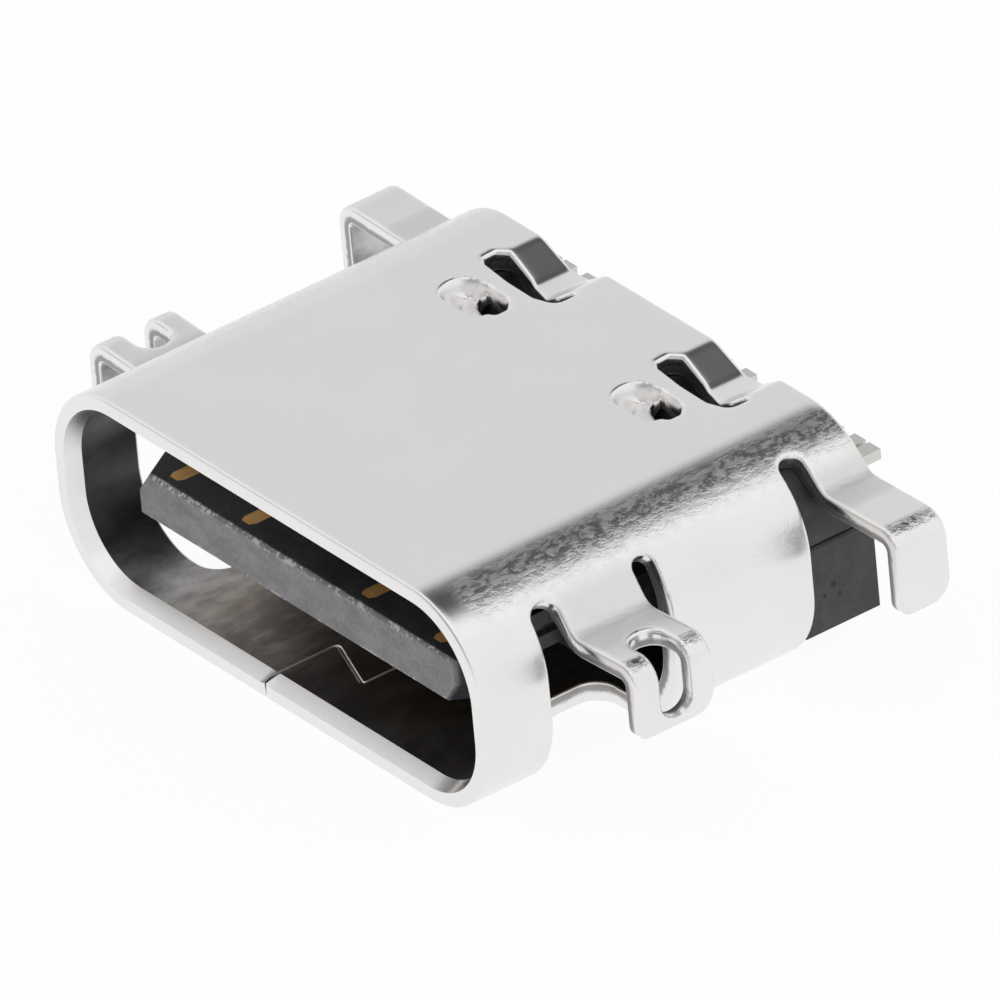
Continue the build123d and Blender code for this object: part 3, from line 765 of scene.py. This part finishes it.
def dressed(node, material, edge):
    """Gives a solid its finish and softens its edges."""
    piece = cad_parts[node]
    piece.data.materials.clear()
    piece.data.materials.append(material)
    soften = piece.modifiers.new("soft_edges", "BEVEL")
    soften.width = edge * MM
    soften.segments = 2
    soften.limit_method = "ANGLE"
    soften.angle_limit = radians(40)
    soften.harden_normals = True


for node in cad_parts:
    if node.endswith(("_left", "_right")):
        dressed(node, GOLD, 0.025)
    elif "carrier" in node or "overmould" in node:
        dressed(node, BLACK, 0.03)
    elif "plate" in node or "pad" in node:
        dressed(node, PLATE, 0.02)


PART_MIDDLE = (0, 3 * MM, 0)
FLOOR_HEIGHT = -(HALF_HEIGHT + 0.02) * MM
FLOOR_RINGS = (0.02, 0.08, 0.5)
FLOOR_SIDES = 48


def lay_floor():
    """A pale round card under the part, plain white to the camera and to bright metal."""
    turns = [2 * pi * i / FLOOR_SIDES for i in range(FLOOR_SIDES)]
    points = [PART_MIDDLE[:2]]
    points += [
        (reach * cos(turn), reach * sin(turn) + PART_MIDDLE[1])
        for reach in FLOOR_RINGS for turn in turns
    ]
    sides = [(i, (i + 1) % FLOOR_SIDES) for i in range(FLOOR_SIDES)]
    faces = [(0, 1 + here, 1 + ahead) for here, ahead in sides]
    for ring in range(1, len(FLOOR_RINGS)):
        outer = 1 + ring * FLOOR_SIDES
        inner = outer - FLOOR_SIDES
        faces += [
            (inner + here, outer + here, outer + ahead, inner + ahead) for here, ahead in sides
        ]
    mesh = bpy.data.meshes.new("card_floor")
    mesh.from_pydata([(x, y, FLOOR_HEIGHT) for x, y in points], [], faces)
    floor = bpy.data.objects.new("card_floor", mesh)
    bpy.context.scene.collection.objects.link(floor)

    def card(finish):
        names = ("Is Camera Ray", "Is Glossy Ray", "Is Transmission Ray")
        rays = [finish.node("ShaderNodeLightPath", output=name) for name in names]
        rays = [rays[0] + rays[1] + rays[2], 1.0]
        seen = finish.node("ShaderNodeMath", {"operation": "MINIMUM"}, rays)
        matt = finish.node("ShaderNodeBsdfDiffuse", None, {"Color": (0.93, 0.93, 0.93)})
        white = finish.node("ShaderNodeEmission", None, {"Color": (1.0, 1.0, 1.0), "Strength": 1.0})
        return finish.node("ShaderNodeMixShader", None, [seen * 0.95, matt, white])

    mesh.materials.append(finish_named("white_card", card))


lay_floor()


def light_tent():
    """A pale tent round the part, with a dark panel over its back and a dim front."""
    world = bpy.data.worlds.new("light_tent")
    bpy.context.scene.world = world
    world.use_nodes = True
    finish = Finish(world.node_tree)
    look = finish.node("ShaderNodeTexCoord", output=0)
    y, z = finish.parts(look)[1:]

    def towards(azimuth, elevation):
        """How near the look is to a direction, as the cosine of the angle between them."""
        flat = cos(radians(elevation))
        aim = (flat * cos(radians(azimuth)), flat * sin(radians(azimuth)), sin(radians(elevation)))
        settings = {"operation": "DOT_PRODUCT"}
        return finish.node("ShaderNodeVectorMath", settings, {0: look, 1: aim}, 1)

    panel = towards(112, 57).ramp(cos(radians(28)), cos(radians(15)))
    behind = towards(145, 22).ramp(cos(radians(40)), cos(radians(15)))
    front = (-1 * y).ramp(0.35, 0.95) * z.ramp(-0.1, 0.3)
    level = (0.99 - behind * 0.15 - front * 0.60) * (1 - panel * 0.98)
    values = {"Color": (1.0, 1.0, 1.0), "Strength": level}
    shader = finish.node("ShaderNodeBackground", None, values)
    finish.node("ShaderNodeOutputWorld", None, {"Surface": shader})


light_tent()


def hang_lamp(name, place, size, power):
    """A soft square lamp that looks at the part."""
    lamp = bpy.data.lights.new(name, "AREA")
    lamp.size = size
    lamp.energy = power
    piece = bpy.data.objects.new(name, lamp)
    piece.location = place
    aim = Vector(PART_MIDDLE) - piece.location
    piece.rotation_euler = aim.to_track_quat("-Z", "Y").to_euler()
    bpy.context.scene.collection.objects.link(piece)


hang_lamp("over_lamp", (0.03, -0.01, 0.12), 0.09, 0.004)
hang_lamp("side_lamp", (0.042, 0.063, 0.095), 0.05, 0.001)

# The camera looks from the front right, a little rolled, from far off
CAMERA_ROUND = 55.44
CAMERA_UP = 31.50
CAMERA_ROLL = 5.56
LENS = 1500
SENSOR_WIDTH = 36
PICTURE_WIDTH = 12.668
PICTURE_MIDDLE = (2.9326, 1.2769)


def set_camera():
    """Turns the camera round the mouth, rolls it, and aims it at the middle of the picture."""
    turn, lift, roll = radians(CAMERA_ROUND), radians(CAMERA_UP), radians(CAMERA_ROLL)
    back = Vector((sin(turn) * cos(lift), -cos(turn) * cos(lift), sin(lift)))
    across = Vector((cos(turn), sin(turn), 0))
    upright = back.cross(across)
    right = across * cos(roll) - upright * sin(roll)
    up = across * sin(roll) + upright * cos(roll)
    distance = PICTURE_WIDTH * MM * LENS / SENSOR_WIDTH
    eye = back * distance
    aim = (right * PICTURE_MIDDLE[0] + up * PICTURE_MIDDLE[1]) * MM
    back = (eye - aim).normalized()
    right = up.cross(back).normalized()
    up = back.cross(right)
    camera = bpy.data.cameras.new("camera")
    camera.lens = LENS
    camera.sensor_width = SENSOR_WIDTH
    camera.clip_start = distance * 0.5
    camera.clip_end = distance * 4
    piece = bpy.data.objects.new("camera", camera)
    turned_to = Matrix((right, up, back)).transposed().to_4x4()
    piece.matrix_world = Matrix.Translation(eye) @ turned_to
    bpy.context.scene.collection.objects.link(piece)
    bpy.context.scene.camera = piece


set_camera()
bpy.context.scene.view_settings.view_transform = "Standard"
